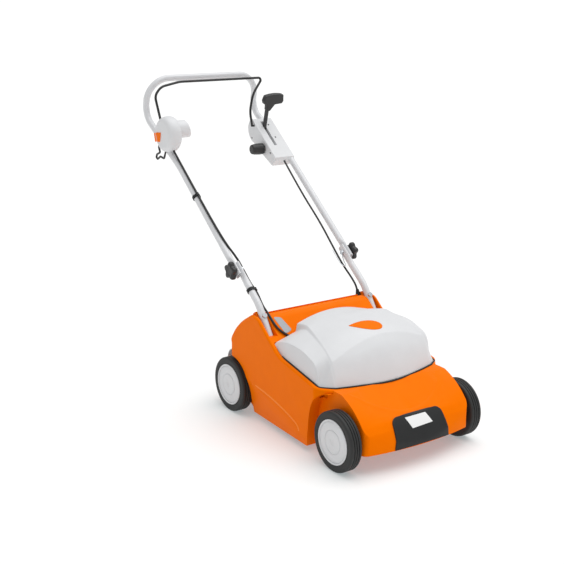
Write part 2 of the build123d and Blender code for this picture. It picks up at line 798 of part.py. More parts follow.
# Lower handle tubes, flattened at the fold
flat_inner = (flat_half - tube_wall, flat_height - tube_wall)
foot_dir = (0, cos(radians(foot_angle)), sin(radians(foot_angle)))
for side_name, side in (("right", -1), ("left", 1)):
    tube_x = side * lower_x
    foot = Vector(tube_x, *tube_foot)
    foot_plane = Plane(origin=foot, x_dir=(1, 0, 0), z_dir=foot_dir)
    with BuildPart() as lower_tube:
        for big, flat, mode in ((tube_r, (flat_half, flat_height), Mode.ADD),
                                (tube_r - tube_wall, flat_inner, Mode.SUBTRACT)):
            with BuildLine():
                FilletPolyline(foot, on_handle(tube_x, -157, 0), on_handle(tube_x, -120, 0), radius=160)
            with BuildSketch(foot_plane):
                Circle(big)
            sweep(mode=mode)
            with BuildSketch(tube_plane(tube_x, -120)):
                Circle(big)
            extrude(amount=60, mode=mode)
            with BuildSketch(tube_plane(tube_x, -60)):
                Circle(big)
            with BuildSketch(tube_plane(tube_x, -30)):
                Ellipse(*flat)
            loft(mode=mode)
            with BuildSketch(tube_plane(tube_x, -30)):
                Ellipse(*flat)
            extrude(amount=56, mode=mode)
        with BuildSketch(Plane.YZ.offset(tube_x - 20)):
            with Locations((fold_y, fold_z)):
                Circle(bolt_r)
        extrude(amount=40, mode=Mode.SUBTRACT)
        with BuildSketch(bolt_plane(side)):
            Circle(bolt_r)
        extrude(amount=20, both=True, mode=Mode.SUBTRACT)
    lower_tube.part.label = f"lower_tube_{side_name}"
    export_step(lower_tube.part, f"parts/lower_tube_{side_name}.step")

# Bolts through the tube feet into the deck
with BuildPart() as tube_bolts:
    for side in (-1, 1):
        with BuildSketch(bolt_plane(side).offset(8)):
            Circle(8.5)
        extrude(amount=9)
        foot = Vector(side * lower_x, *tube_foot)
        with BuildSketch(Plane(origin=foot, x_dir=(1, 0, 0), z_dir=foot_dir)):
            Circle(tube_r)
        extrude(amount=110, mode=Mode.SUBTRACT)
        with BuildSketch(bolt_plane(side).offset(14)):
            Circle(bolt_r)
        extrude(amount=-38)
tube_bolts.part.label = "tube_bolts"
export_step(tube_bolts.part, "parts/tube_bolts.step")

# Bolts and star knobs at the fold
with BuildPart() as fold_bolts:
    for side in (-1, 1):
        with BuildSketch(Plane.YZ.offset(side * 219)):
            with Locations((fold_y, fold_z)):
                Circle(8)
        extrude(amount=side * (lower_x - flat_half - 219))
        with BuildSketch(Plane.YZ.offset(side * 222)):
            with Locations((fold_y, fold_z)):
                Circle(bolt_r)
        extrude(amount=side * 45)
fold_bolts.part.label = "fold_bolts"
export_step(fold_bolts.part, "parts/fold_bolts.step")

for side_name, side in (("right", -1), ("left", 1)):
    with BuildPart() as star_knob:
        with BuildSketch(Plane.YZ.offset(side * 259)) as star:
            with Locations((fold_y, fold_z)):
                Circle(18)
                with PolarLocations(18, 5, start_angle=20):
                    Circle(7.5)
            fillet(star.vertices(), radius=5)
        extrude(amount=side * 20)
        fillet(star_knob.faces().sort_by(Axis.X)[0 if side < 0 else -1].edges(), radius=3)
        with BuildSketch(Plane.YZ.offset(side * 255.7)):
            with Locations((fold_y, fold_z)):
                Circle(13)
        extrude(amount=side * 5)
        with BuildSketch(Plane.YZ.offset(side * 255.7)):
            with Locations((fold_y, fold_z)):
                Circle(bolt_r + running_gap)
        extrude(amount=side * 12.5, mode=Mode.SUBTRACT)
    star_knob.part.label = f"star_knob_{side_name}"
    export_step(star_knob.part, f"parts/star_knob_{side_name}.step")

# Handlebar: one bent tube whose ends are flattened
bar_half = [on_handle(upper_x, 110, 0), on_handle(upper_x, 500, 0), Vector(upper_x, 696, 1012),
            Vector(upper_x, 659, 1152)]
bar_route = bar_half + [Vector(-p.X, p.Y, p.Z) for p in reversed(bar_half)]
bar_radii = [400, 72, 88, 88, 72, 400]


def bar_form(radius, flat):
    """Solid form of the handlebar for one radius and one flattened end."""
    with BuildPart() as form:
        with BuildLine():
            FilletPolyline(*bar_route, radius=bar_radii)
        with BuildSketch(tube_plane(upper_x, 110)):
            Circle(radius)
        sweep()
        for side in (-1, 1):
            with BuildSketch(tube_plane(side * upper_x, 110)):
                Circle(radius)
            extrude(amount=-50)
            with BuildSketch(tube_plane(side * upper_x, 60)):
                Circle(radius)
            with BuildSketch(tube_plane(side * upper_x, 30)):
                Ellipse(*flat)
            loft()
            with BuildSketch(tube_plane(side * upper_x, 30)):
                Ellipse(*flat)
            extrude(amount=-56)
    return form.part


with BuildPart() as handle_core:
    add(bar_form(tube_r, (flat_half, flat_height)))

with BuildPart() as handlebar:
    add(handle_core.part)
    add(bar_form(tube_r - tube_wall, flat_inner), mode=Mode.SUBTRACT)
    for side in (-1, 1):
        with BuildSketch(Plane.YZ.offset(side * upper_x)):
            with Locations((fold_y, fold_z)):
                Circle(bolt_r + 0.1)
        extrude(amount=20, both=True, mode=Mode.SUBTRACT)
handlebar.part.label = "handlebar"
export_step(handlebar.part, "parts/handlebar.step")

# Switch box: a turned shell round the right-hand tube
switch_centre = on_handle(0, switch_s, switch_n)
bail_up = (cos(radians(bail_angle)), sin(radians(bail_angle)))
button_out = Vector(0, 0.97, -0.243)
button_x = -268.2
box_curve = [(-278, 44), (-273, 60), (-254, switch_r), (-232, 65), (-222, 54)]
button_plane = Plane(origin=switch_centre + Vector(button_x, 0, 0), x_dir=(1, 0, 0), z_dir=button_out)


def polar(radius, angle):
    """Offset by radius at an angle seen from the side."""
    return Vector(radius * cos(radians(angle)), radius * sin(radians(angle)))


with BuildPart() as switch_box:
    with BuildSketch(wheel_plane(switch_centre.Y, switch_centre.Z)):
        with BuildLine():
            Spline(*box_curve)
            Polyline(box_curve[-1], (-222, 0), (-278, 0), box_curve[0])
        make_face()
    revolve(axis=cross_axis(switch_centre.Y, switch_centre.Z))
    add(handle_core.part, mode=Mode.SUBTRACT)
    # Slot and hole for the bail
    pivot = Vector(bail_y, bail_z)
    with BuildSketch(Plane.YZ.offset(-252.5)):
        with Locations((bail_y, bail_z)):
            Circle(9)
        with BuildLine():
            low = pivot + polar(7, bail_angle + 90)
            high = pivot + polar(7, bail_angle - 102)
            Polyline(low, low + polar(48, bail_angle + 2), high + polar(48, bail_angle - 14), high, low)
        make_face()
    extrude(amount=14, mode=Mode.SUBTRACT)
    with BuildSketch(Plane.YZ.offset(-252)):
        with Locations((bail_y, bail_z)):
            Circle(bail_pin_r + running_gap)
    extrude(amount=24, mode=Mode.SUBTRACT)
    # Pocket for the start button
    with BuildSketch(button_plane.offset(45)):
        RectangleRounded(12.6, 34.6, 3.3)
    extrude(amount=40, mode=Mode.SUBTRACT)
    # Hole for the cable and for the bare inlet
    with BuildSketch(tube_plane(-250, 556)):
        with Locations((0, -16.5)):
            Circle(power_r + 0.4)
    extrude(amount=50, mode=Mode.SUBTRACT)
switch_box.part.label = "switch_box"
export_step(switch_box.part, "parts/switch_box.step")

with BuildPart() as start_button:
    with BuildSketch(button_plane.offset(50)):
        RectangleRounded(12, 34, 3)
    extrude(amount=22.5)
    fillet(start_button.faces().sort_by(Axis.Y)[-1].edges(), radius=2)
start_button.part.label = "start_button"
export_step(start_button.part, "parts/start_button.step")

# Shrouded mains inlet with its pins
inlet_y = 481
inlet_z = 976
with BuildPart() as mains_inlet:
    with BuildSketch(Plane.YZ.offset(-240)):
        with Locations((inlet_y, inlet_z)):
            Circle(33)
    extrude(amount=70)
    with BuildSketch(Plane.YZ.offset(-214)):
        with Locations((inlet_y, inlet_z)):
            Circle(29.5)
    extrude(amount=60, mode=Mode.SUBTRACT)
    with BuildSketch(Plane.XZ.offset(-inlet_y - 60)):
        Polygon((-177, inlet_z - 40), (-197, inlet_z + 40), (-140, inlet_z + 40), (-140, inlet_z - 40),
                align=None)
    extrude(amount=120, mode=Mode.SUBTRACT)
    with BuildSketch(wheel_plane(switch_centre.Y, switch_centre.Z)):
        with BuildLine():
            Spline(*box_curve)
            Polyline(box_curve[-1], (-222, 0), (-278, 0), box_curve[0])
        make_face()
    revolve(axis=cross_axis(switch_centre.Y, switch_centre.Z), mode=Mode.SUBTRACT)
mains_inlet.part.label = "mains_inlet"
export_step(mains_inlet.part, "parts/mains_inlet.step")

with BuildPart() as inlet_pins:
    with BuildSketch(Plane.YZ.offset(-214)):
        with Locations((inlet_y, inlet_z)):
            with PolarLocations(11, 3, start_angle=90):
                Circle(2.4)
    extrude(amount=19)
inlet_pins.part.label = "inlet_pins"
export_step(inlet_pins.part, "parts/inlet_pins.step")

# Wire hook that holds the mains cord
hook_x = -266
hook_points = [(546, 922), (556, 905), (547, 884), (572, 874), (579, 862), (568, 856), (545, 869),
               (516, 864), (499, 898)]
with BuildPart() as cord_hook:
    with BuildLine():
        FilletPolyline(*[(hook_x, y, z) for y, z in hook_points], radius=[8, 5, 6, 4, 4, 8, 8])
    with BuildSketch(Plane(origin=(hook_x, 546, 922), z_dir=(0, 10, -17))):
        Circle(2.4)
    sweep()
    add(switch_box.part, mode=Mode.SUBTRACT)
cord_hook.part.label = "cord_hook"
export_step(cord_hook.part, "parts/cord_hook.step")

# Switch bail: bent rod with a pin at each end
bail_points = [(-244, 0), (-256, 143), (-225, 176), (-140, 192), (243, 192), (184, 126), (158, 58),
               (158, 0)]
bail_route = [Vector(x, bail_y + t * bail_up[0], bail_z + t * bail_up[1]) for x, t in bail_points]
with BuildPart() as switch_bail:
    with BuildLine():
        FilletPolyline(*bail_route, radius=[40, 60, 150, 9, 150, 120])
    with BuildSketch(Plane(origin=bail_route[0], z_dir=bail_route[1] - bail_route[0])):
        Circle(bail_r)
    sweep()
    with BuildSketch(Plane.YZ.offset(-247)):
        with Locations((bail_y, bail_z)):
            Circle(bail_pin_r)
    extrude(amount=18)
    with BuildSketch(Plane.YZ.offset(155)):
        with Locations((bail_y, bail_z)):
            Circle(bail_pin_r)
    extrude(amount=27)
switch_bail.part.label = "switch_bail"
export_step(switch_bail.part, "parts/switch_bail.step")

# Line of the Bowden cable, which leaves the lever box at its lower end
bowden_route = [on_handle(213, 500, 2), Vector(213, 299, 727), Vector(213, 165, 623),
                Vector(213, 80, 541), Vector(213, 17, 483), Vector(213, -39, 445),
                Vector(213, -70, 416), Vector(213, -84, 360), Vector(207, -118, 312),
                Vector(203, -180, 256), Vector(199, -262, 217), Vector(199, -338, 213),
                Vector(199, -386, 183), Vector(199, -432, wire_z)]

# Lever box round the left-hand tube
box_screws = [((228, 664), 15), ((226, 594), 15)]
side_screws = [(694, 0), (655, -45), (522, 3)]
with BuildPart() as lever_box:
    with BuildSketch(side_plane(168)):
        with BuildLine():
            Spline((709, 4), (696, -41), (665, -56), (636, -53))
            Polyline((636, -53), (562, -43), (482, -28), (477, 6), (486, 15), (700, 15), (709, 4))
        make_face()
    extrude(amount=95)
    fillet(lever_box.faces().sort_by(Axis.X)[-1].edges(), radius=9)
    fillet(lever_box.faces().sort_by(Axis.X)[0].edges(), radius=3)
    add(handle_core.part, mode=Mode.SUBTRACT)
    # Slot for the lever
    with BuildSketch(side_plane(198.5)):
        with Locations((lever_s, lever_n)):
            Circle(12.5)
        with BuildLine():
            Polyline((lever_s - 20, lever_n - 6), (546, 20), (688, 20), (lever_s + 20, lever_n - 2),
                     (lever_s - 20, lever_n - 6))
        make_face()
    extrude(amount=13, mode=Mode.SUBTRACT)
    # Holes for the lever pin, the bail pin, the knob stem and the cable
    with BuildSketch(side_plane(190)):
        with Locations((lever_s, lever_n)):
            Circle(4 + running_gap)
    extrude(amount=30, mode=Mode.SUBTRACT)
    with BuildSketch(Plane.YZ.offset(160)):
        with Locations((bail_y, bail_z)):
            Circle(bail_pin_r + running_gap)
    extrude(amount=23, mode=Mode.SUBTRACT)
    with BuildSketch(side_plane(160)):
        with Locations((knob_s, knob_n)):
            Circle(5 + running_gap)
    extrude(amount=23, mode=Mode.SUBTRACT)
    with BuildSketch(Plane(origin=bowden_route[0], z_dir=bowden_route[1] - bowden_route[0]).offset(-8)):
        Circle(bowden_r + 0.4)
    extrude(amount=48, mode=Mode.SUBTRACT)
    # Pockets for the screws
    for (screw_x, screw_s), screw_n in box_screws:
        with BuildSketch(handle_plane(screw_n)):
            with Locations((screw_x, screw_s)):
                Circle(4)
        extrude(amount=-12, mode=Mode.SUBTRACT)
    for screw_s, screw_n in side_screws:
        with BuildSketch(side_plane(168)):
            with Locations((screw_s, screw_n)):
                Circle(4)
        extrude(amount=12, mode=Mode.SUBTRACT)
lever_box.part.label = "lever_box"
export_step(lever_box.part, "parts/lever_box.step")

with BuildPart() as lever_box_screws:
    for (screw_x, screw_s), screw_n in box_screws:
        with BuildSketch(handle_plane(screw_n - 2)):
            with Locations((screw_x, screw_s)):
                Circle(4)
                Rectangle(5, 1.2, mode=Mode.SUBTRACT)
        extrude(amount=-10)
    for screw_s, screw_n in side_screws:
        with BuildSketch(side_plane(170)):
            with Locations((screw_s, screw_n)):
                Circle(4)
                Rectangle(5, 1.2, mode=Mode.SUBTRACT)
        extrude(amount=10)
lever_box_screws.part.label = "lever_box_screws"
export_step(lever_box_screws.part, "parts/lever_box_screws.step")

# Depth lever with its T-shaped grip
lever_line = Vector(39, 87).normalized()
lever_up = along * lever_line.X + square * lever_line.Y
grip_centre = on_handle(225, 702, 122)
with BuildPart() as depth_lever:
    with BuildSketch(side_plane(200)):
        with Locations((lever_s, lever_n)):
            Circle(11.5)
        with Locations((656, 15)):
            Circle(7)
        make_hull()
    extrude(amount=10)
    with BuildSketch(side_plane(200)):
        with Locations((656, 15), (695, 102)):
            Circle(7)
        make_hull()
    extrude(amount=10)
    with BuildSketch(side_plane(190.5)):
        with Locations((lever_s, lever_n)):
            Circle(4)
    extrude(amount=29)
depth_lever.part.label = "depth_lever"
export_step(depth_lever.part, "parts/depth_lever.step")

with BuildPart() as lever_grip:
    grip_plane = Plane(origin=grip_centre, x_dir=(1, 0, 0), z_dir=Vector(1, 0, 0).cross(lever_up))
    with BuildSketch(grip_plane) as grip_face:
        with BuildLine():
            Spline((-41, 14), (-12, 20), (16, 21), (43, 18))
            Polyline((43, 18), (47, -10), (40, -19), (8, -22), (-12, -48), (-28, -48), (-30, -20),
                     (-42, -20), (-47, -6), (-41, 14))
        make_face()
        fillet(grip_face.vertices(), radius=5)
    extrude(amount=11, both=True)
    fillet(lever_grip.faces().filter_by(lambda f: f.area > 2500).edges(), radius=4)
    add(depth_lever.part, mode=Mode.SUBTRACT)
lever_grip.part.label = "lever_grip"
export_step(lever_grip.part, "parts/lever_grip.step")

# Knob beside the lever box
knob_place = on_handle(0, knob_s, knob_n)
with BuildPart() as depth_knob:
    with BuildSketch(wheel_plane(knob_place.Y, knob_place.Z)):
        with BuildLine():
            Polyline((112, 0), (112, 14), (115, 18.5), (126, 21), (146, 22.5), (162, 22), (167.5, 17),
                     (167.5, 5), (182, 5), (182, 0), (112, 0))
        make_face()
    revolve(axis=cross_axis(knob_place.Y, knob_place.Z))
    with BuildSketch(Plane.YZ.offset(118)):
        with Locations((knob_place.Y, knob_place.Z)):
            with PolarLocations(23.5, 12):
                Circle(2.2)
    extrude(amount=42, mode=Mode.SUBTRACT)
depth_knob.part.label = "depth_knob"
export_step(depth_knob.part, "parts/depth_knob.step")

# Bowden cable from the lever box to the crank axle
bowden_radii = bend_radii(bowden_route)
print("bowden bends", [round(r) for r in bowden_radii])
with BuildPart() as bowden_cable:
    with BuildLine():
        FilletPolyline(*bowden_route, radius=bowden_radii)
    with BuildSketch(Plane(origin=bowden_route[0], z_dir=bowden_route[1] - bowden_route[0])):
        Circle(bowden_r)
    sweep()
bowden_cable.part.label = "bowden_cable"
export_step(bowden_cable.part, "parts/bowden_cable.step")

with BuildPart() as bowden_wire:
    with BuildSketch(Plane.XZ.offset(432.5)):
        with Locations((wire_x, wire_z)):
            Circle(1)
    extrude(amount=-432.5 - crank_y)
bowden_wire.part.label = "bowden_wire"
export_step(bowden_wire.part, "parts/bowden_wire.step")

with BuildPart() as cable_boot:
    with BuildSketch(Plane(origin=boot_foot, z_dir=boot_axis).offset(1)):
        Circle(10)
    with BuildSketch(Plane(origin=boot_foot, z_dir=boot_axis).offset(26)):
        Circle(5.5)
    loft()
    add(bowden_cable.part, mode=Mode.SUBTRACT)
    add(deck.part, mode=Mode.SUBTRACT)
cable_boot.part.label = "cable_boot"
export_step(cable_boot.part, "parts/cable_boot.step")

# Power cable from the switch box to the motor
power_route = [on_handle(-250, 600, 16.5), on_handle(-250, 345, 16.5), on_handle(-248, 120, 19),
               on_handle(-214, 45, 10), on_handle(-213, -30, 2), on_handle(-216.7, -75, 2),
               on_handle(-216.5, -118, 2), Vector(-213, -80, 418), Vector(-213, -112, 400),
               Vector(-214, -150, 373), Vector(-207, -171, 355), Vector(-192, -188, 341),
               Vector(-174, -203, 329), Vector(-148, -226, 311), Vector(-112, -250, 289),
               Vector(-72, -270, 271), Vector(-45, -292, 261), Vector(-40, motor_y + motor_r + 2, motor_z)]
power_radii = bend_radii(power_route)
print("power bends", [round(r) for r in power_radii])
with BuildPart() as power_cable:
    with BuildLine():
        FilletPolyline(*power_route, radius=power_radii)
    with BuildSketch(Plane(origin=power_route[0], z_dir=power_route[1] - power_route[0])):
        Circle(power_r)
    sweep()
power_cable.part.label = "power_cable"
export_step(power_cable.part, "parts/power_cable.step")

# Clips that hold the power cable to the tubes
clip_data = {"cable_clip_upper": (-upper_x, 347, -250, 16.5, 0.4),
             "cable_clip_lower": (-lower_x, -95, -216.7, 2, 0.4)}
for clip_name, (tube_x, clip_s, cable_x, cable_n, gap) in clip_data.items():
    with BuildPart() as cable_clip:
        with BuildSketch(tube_plane(0, clip_s - 6)):
            with Locations((tube_x, 0)):
                Circle(tube_r + 3)
            with Locations((cable_x, -cable_n)):
                Circle(power_r + 3)
            with Locations((tube_x, 0)):
                Circle(tube_r, mode=Mode.SUBTRACT)
            with Locations((cable_x, -cable_n)):
                Circle(power_r + gap, mode=Mode.SUBTRACT)
        extrude(amount=12)
    cable_clip.part.label = clip_name
    export_step(cable_clip.part, f"parts/{clip_name}.step")
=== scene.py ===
from math import cos, radians, sin, sqrt, tau

import bmesh
import bpy
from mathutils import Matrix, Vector
from mathutils.bvhtree import BVHTree


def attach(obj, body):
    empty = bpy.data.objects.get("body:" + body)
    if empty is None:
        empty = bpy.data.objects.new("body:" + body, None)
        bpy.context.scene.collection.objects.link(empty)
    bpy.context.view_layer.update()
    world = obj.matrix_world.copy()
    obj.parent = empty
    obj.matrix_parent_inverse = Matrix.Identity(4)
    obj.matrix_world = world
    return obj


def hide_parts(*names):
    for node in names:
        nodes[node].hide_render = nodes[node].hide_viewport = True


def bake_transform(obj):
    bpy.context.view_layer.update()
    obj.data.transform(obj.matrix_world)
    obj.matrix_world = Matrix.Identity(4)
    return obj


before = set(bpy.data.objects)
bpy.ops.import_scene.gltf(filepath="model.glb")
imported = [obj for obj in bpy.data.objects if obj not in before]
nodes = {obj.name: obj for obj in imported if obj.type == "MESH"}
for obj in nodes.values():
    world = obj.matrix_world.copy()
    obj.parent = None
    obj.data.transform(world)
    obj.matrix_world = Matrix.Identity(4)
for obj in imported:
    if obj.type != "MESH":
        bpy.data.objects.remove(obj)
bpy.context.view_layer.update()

# Deck: the one large moulding that carries everything. Injection-moulded ABS in orange, with a
# satin spark-eroded mould finish, so its corners are soft and its faces catch broad dull highlights.


def linear(hex_colour):
    """An sRGB hex colour as linear RGBA."""
    channels = [int(hex_colour[i:i + 2], 16) / 255 for i in (1, 3, 5)]
    return (*[c / 12.92 if c < 0.04045 else ((c + 0.055) / 1.055) ** 2.4 for c in channels], 1)


def add_node(tree, kind, values=None, links=None):
    """One shader node with its socket values and its links."""
    made = tree.nodes.new(kind)
    for name, value in (values or {}).items():
        made.inputs[name].default_value = value
    for name, source in (links or {}).items():
        tree.links.new(source, made.inputs[name])
    return made


def per_metre(millimetres):
    """The texture scale that repeats once in this many millimetres."""
    return 1000 / millimetres


def new_material(name, sockets):
    """A material whose principled shader has these constants on its sockets."""
    material = bpy.data.materials.new(name)
    material.use_nodes = True
    for socket, value in sockets.items():
        material.node_tree.nodes["Principled BSDF"].inputs[socket].default_value = value
    return material


def clouds(material, size, detail, brush=None):
    """Noise fixed to the piece, as large as given in millimetres, drawn out along a brushed direction."""
    tree = material.node_tree
    place = add_node(tree, "ShaderNodeTexCoord").outputs["Object"]
    if brush:
        stretched = add_node(tree, "ShaderNodeMapping", values={"Scale": brush}, links={"Vector": place})
        place = stretched.outputs["Vector"]
    return add_node(tree, "ShaderNodeTexNoise", values={"Scale": per_metre(size), "Detail": detail},
                    links={"Vector": place}).outputs["Fac"]


def textured(material, colours, mottle, roughness, grain, strength, depth):
    """Lets one noise mix the two colours, and another set the gloss and a relief in millimetres."""
    tree = material.node_tree
    dark, light = [linear(colour) for colour in colours]
    low, high = roughness
    tint = add_node(tree, "ShaderNodeMixRGB", values={"Color1": dark, "Color2": light}, links={"Fac": mottle})
    gloss = add_node(tree, "ShaderNodeMapRange", values={"To Min": low, "To Max": high},
                     links={"Value": grain})
    relief = add_node(tree, "ShaderNodeBump", values={"Strength": strength, "Distance": depth / 1000},
                      links={"Height": grain})
    shader = tree.nodes["Principled BSDF"]
    tree.links.new(tint.outputs["Color"], shader.inputs["Base Color"])
    tree.links.new(gloss.outputs["Result"], shader.inputs["Roughness"])
    tree.links.new(relief.outputs["Normal"], shader.inputs["Normal"])
    return material


def moulded(name, colour, shade, rough, grain=1.6, depth=0.03, ior=1.53, shine=0.4, glint="#FFFFFF"):
    """A moulded plastic: slow flow mottling in the colour, and the mould's fine grain as bump.
    Spark grain is about 0.1 mm and too fine to show, so it is drawn over a millimetre wide."""
    material = new_material(name, {"IOR": ior, "Specular IOR Level": shine, "Specular Tint": linear(glint)})
    return textured(material, (shade, colour), clouds(material, 45, detail=3), (rough - 0.06, rough + 0.06),
                    clouds(material, grain, detail=2), strength=0.35, depth=depth)


def welded(node):
    """An editable copy of a CAD node's mesh, with the seams between its faces closed."""
    form = bmesh.new()
    form.from_mesh(nodes[node].data)
    bmesh.ops.remove_doubles(form, verts=form.verts, dist=weld_gap)
    return form


weld_gap = 0.00002


def soften(piece, edge):
    """The small round that every real edge has, with even shading over the faces beside it."""
    piece.data.polygons.foreach_set("use_smooth", [True] * len(piece.data.polygons))
    weld = piece.modifiers.new("weld", "WELD")
    weld.merge_threshold = weld_gap
    if edge:
        soft = piece.modifiers.new("edge", "BEVEL")
        soft.width = edge / 1000
        soft.segments = 2
        soft.limit_method = "ANGLE"
        soft.angle_limit = radians(35)
    even = piece.modifiers.new("even", "WEIGHTED_NORMAL")
    even.keep_sharp = False


def dress(material, *names, edge=0.6):
    """Gives CAD nodes their material and their soft edges."""
    for name in names:
        nodes[name].data.materials.clear()
        nodes[name].data.materials.append(material)
        soften(nodes[name], edge)


def eased(share):
    """A share from nothing to all, clipped and with soft ends."""
    share = min(max(share, 0), 1)
    return share * share * (3 - 2 * share)


def along_table(table, place):
    """The row of a table at a place between its rows, on a smooth line through them."""
    index = max(i for i in range(len(table) - 1) if i == 0 or table[i][0] <= place)
    low, high = table[index], table[index + 1]
    before, after = table[max(index - 1, 0)], table[min(index + 2, len(table) - 1)]
    span = high[0] - low[0]
    share = min(max((place - low[0]) / span, 0), 1)
    row = []
    for column in range(1, len(low)):
        rise_in = (high[column] - before[column]) / (high[0] - before[0]) * span
        rise_out = (after[column] - low[column]) / (after[0] - low[0]) * span
        swing = low[column] - high[column]
        row.append(low[column] + share * (rise_in + share * (-3 * swing - 2 * rise_in - rise_out
                                                             + share * (2 * swing + rise_in + rise_out))))
    return row


def rounded_rear(x, y, z):
    """A place on the deck after its rear slope is crowned, its rear corners are drawn in and its tube
    sockets are lowered, in millimetres."""
    below = slope_top[1] - (y - slope_top[0]) * slope_fall - z
    if rear_crown[0][0] < y < rear_crown[-1][0] and below < crown_depth:
        z += along_table(rear_crown, y)[0] * eased((crown_depth - below) / 40)
    if abs(x) > chamber_side and y > corner_start and z > 215:
        y -= corner_pull * eased((285 - z) / 60) * eased((y - corner_start) / 40)
    if 215 < abs(x) < 250 and -92 < y < -60 and z > 384:
        z -= socket_drop
    return x, y, z


orange_abs = moulded("moulded_orange_abs", "#FC7900", "#F47100", rough=0.36, shine=0.05, glint="#FF9A30")
chamber_side = 224.5
slope_top = (-104, 404)
slope_fall = 120 / 156
crown_depth = 62
rear_crown = [(-100, 0), (-80, 8), (-60, 12), (-20, 18), (5, 17), (28, 12), (43, 3), (52, 0)]
corner_start = 20
corner_pull = 16
socket_drop = 12
form = welded("deck")
for cut in range(-96, 52, 8):
    bmesh.ops.bisect_plane(form, geom=form.verts[:] + form.edges[:] + form.faces[:],
                           plane_co=(0, cut / 1000, 0), plane_no=(0, 1, 0))
for corner in form.verts:
    corner.co = Vector(rounded_rear(*(corner.co * 1000))) / 1000
deck_mesh = bpy.data.meshes.new("moulded_deck")
form.to_mesh(deck_mesh)
form.free()
deck_mesh.materials.append(orange_abs)
deck = bpy.data.objects.new("moulded_deck", deck_mesh)
bpy.context.scene.collection.objects.link(deck)
soften(deck, 1.2)
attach(deck, "chassis")
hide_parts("deck")

# Flank ribs and arch liners: one rib runs down each flank and dips at its front end, in a lighter
# orange that is a painted highlight along the crease. Over each front wheel a thin liner closes the arch.
rib_line = [(-84, 143.5), (-114, 141), (-143, 137.5), (-172, 133.5), (-200, 128.5), (-228, 122.8),
            (-256, 116), (-284, 109), (-311, 101), (-332, 93.8), (-347, 88), (-357, 83), (-364, 77),
            (-368, 70), (-369, 62)]
rib_profile = [(-0.3, 3.2), (0.9, 2.4), (1.6, 0.8), (1.6, -0.8), (0.9, -2.4), (-0.3, -3.2)]
flank_face = 262
root_depth = 0.3
# Painted highlight: the rib's lighter orange stands in for the light caught along the flank crease.
highlight_painted_abs = moulded("orange_abs_painted_highlight", "#FF9338", "#FF8B2C", rough=0.3, shine=0.12)
arch_line = [(-428, 207), (-444.2, 208), (-448.5, 206), (-453.5, 212), (-460, 218), (-468, 221.6),
             (-478, 224.8), (-489.6, 227.3), (-502, 228.8)]
liner_edges = (217.5, 240)
liner_foot = 186


def bent_rod(name, line, radius, material, smooth=False):
    """A round bar along a line of points in millimetres, as a curve."""
    curve = bpy.data.curves.new(name, "CURVE")
    curve.dimensions = "3D"
    spline = curve.splines.new("NURBS" if smooth else "POLY")
    spline.points.add(len(line) - 1)
    for control, point in zip(spline.points, line):
        control.co = (*(Vector(point) / 1000), 1)
    if smooth:
        spline.order_u = 3
        spline.use_endpoint_u = True
        spline.resolution_u = 10
    curve.bevel_depth = radius / 1000
    curve.bevel_resolution = 4
    curve.use_fill_caps = True
    curve.materials.append(material)
    return bpy.data.objects.new(name, curve)


def new_piece(name, points, faces, material, body):
    """A mesh piece in metres, smooth shaded, on the body that it moves with."""
    mesh = bpy.data.meshes.new(name)
    mesh.from_pydata(points, [], faces)
    mesh.polygons.foreach_set("use_smooth", [True] * len(mesh.polygons))
    mesh.materials.append(material)
    piece = bpy.data.objects.new(name, mesh)
    bpy.context.scene.collection.objects.link(piece)
    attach(piece, body)
    return piece


def grid_faces(rows, width, flip=False):
    """Four-sided faces over rows of points, each row this many points wide."""
    faces = []
    for row in range(rows - 1):
        for column in range(width - 1):
            corner = row * width + column
            face = (corner, corner + 1, corner + width + 1, corner + width)
            faces.append(face[::-1] if flip else face)
    return faces


def heading(line, place):
    """The direction of a flat line of points at one of them."""
    before, after = line[max(place - 1, 0)], line[min(place + 1, len(line) - 1)]
    return Vector((after[0] - before[0], after[1] - before[1])).normalized()


for side_name, side in (("right", -1), ("left", 1)):
    points = []
    for place, (y, z) in enumerate(rib_line):
        run = heading(rib_line, place)
        fade = eased(place / 3) * eased((len(rib_line) - 1 - place) / 2)
        for out, up in rib_profile:
            points.append((side * (flank_face + out * fade - root_depth * (1 - fade)) / 1000,
                           (y + run.y * up) / 1000, (z - run.x * up) / 1000))
    faces = grid_faces(len(rib_line), len(rib_profile), flip=side < 0)
    new_piece(f"flank_rib_{side_name}", points, faces, highlight_painted_abs, "chassis")
    points = []
    for y, z in arch_line:
        for x, height in ((liner_edges[0], liner_foot), (liner_edges[0], z), (liner_edges[1], z)):
            points.append((side * x / 1000, y / 1000, height / 1000))
    faces = grid_faces(len(arch_line), 3)
    liner = new_piece(f"arch_liner_{side_name}", points, faces, orange_abs, "chassis")
    liner.modifiers.new("thickness", "SOLIDIFY").thickness = 0.001

# Instruction plate: bare aluminium foil, glued on the rear slope of the deck beside the right-hand
# tube. The rolled foil is satin, with faint streaks, and bends with the plastic under it.


def metal(name, colour, shade, rough, cloud=12, brush=(1, 1, 1)):
    """A bare or plated metal: cloudy tint and uneven gloss, drawn out along a brushed direction."""
    material = new_material(name, {"Metallic": 1})
    bath = clouds(material, cloud, detail=4, brush=brush)
    return textured(material, (shade, colour), bath, (rough - 0.08, rough + 0.1), bath,
                    strength=0.2, depth=0.02)


def tree_of(mesh):
    """A mesh in the form that rays are cast on."""
    return BVHTree.FromPolygons([v.co for v in mesh.vertices], [f.vertices for f in mesh.polygons])


